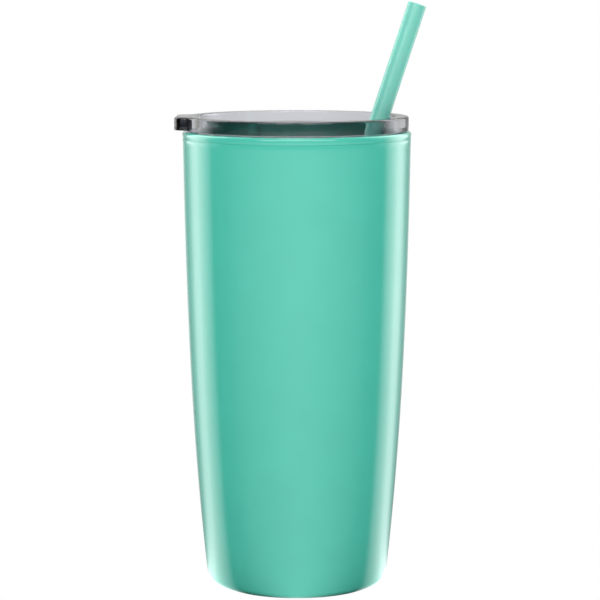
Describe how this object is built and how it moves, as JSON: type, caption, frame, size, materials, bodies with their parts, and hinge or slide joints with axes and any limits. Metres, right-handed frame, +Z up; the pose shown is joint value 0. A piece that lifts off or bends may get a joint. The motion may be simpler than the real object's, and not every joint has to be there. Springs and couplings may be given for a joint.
{
  "type": "insulated straw tumbler",
  "caption": "Tall tapered insulated tumbler with a smoke-clear push-in lid, squared thumb tab and a leaning straw.",
  "frame": {"origin": "centre of the base pad's underside, which the tumbler stands on", "axes": "+Z up the cup's axis; -X towards the lid's thumb tab; +X the side that the straw leans to"},
  "size_m": [0.0982, 0.09, 0.2308],
  "materials": {
    "mint_gloss_plastic": "gloss",
    "pad_rubber": "matte",
    "insulating_foam": "matte",
    "translucent_silicone": "satin",
    "smoke_clear_plastic": "gloss",
    "straw_plastic": "satin"
  },
  "bodies": {
    "cup": {"outer_shell": "mint_gloss_plastic", "inner_cup": "mint_gloss_plastic", "base_cap": "mint_gloss_plastic", "base_pad": "pad_rubber", "insulation_sleeve": "insulating_foam", "rim_seal": "translucent_silicone"},
    "gasket": {"lid_gasket": "translucent_silicone"},
    "lid": {"lid": "smoke_clear_plastic"},
    "straw_stop": {"straw_stop_ring": "translucent_silicone"},
    "straw": {"straw": "straw_plastic"}
  },
  "joints": [
    {"name": "lid_lift", "type": "slide", "parent": "cup", "child": "gasket", "axis": [0, 0, 1], "range_m": [0, 0.185]},
    {"name": "lid_turn", "type": "hinge", "parent": "gasket", "child": "lid", "pos_m": [0, 0, 0.178], "axis": [0, 0, 1], "continuous": true},
    {"name": "straw_slide", "type": "slide", "parent": "lid", "child": "straw_stop", "axis": [0.3129, 0.0412, 0.9489], "range_m": [0, 0.1133]},
    {"name": "straw_turn", "type": "hinge", "parent": "straw_stop", "child": "straw", "pos_m": [0.02855, 0, 0.1732], "axis": [0.3129, 0.0412, 0.9489], "continuous": true}
  ]
}
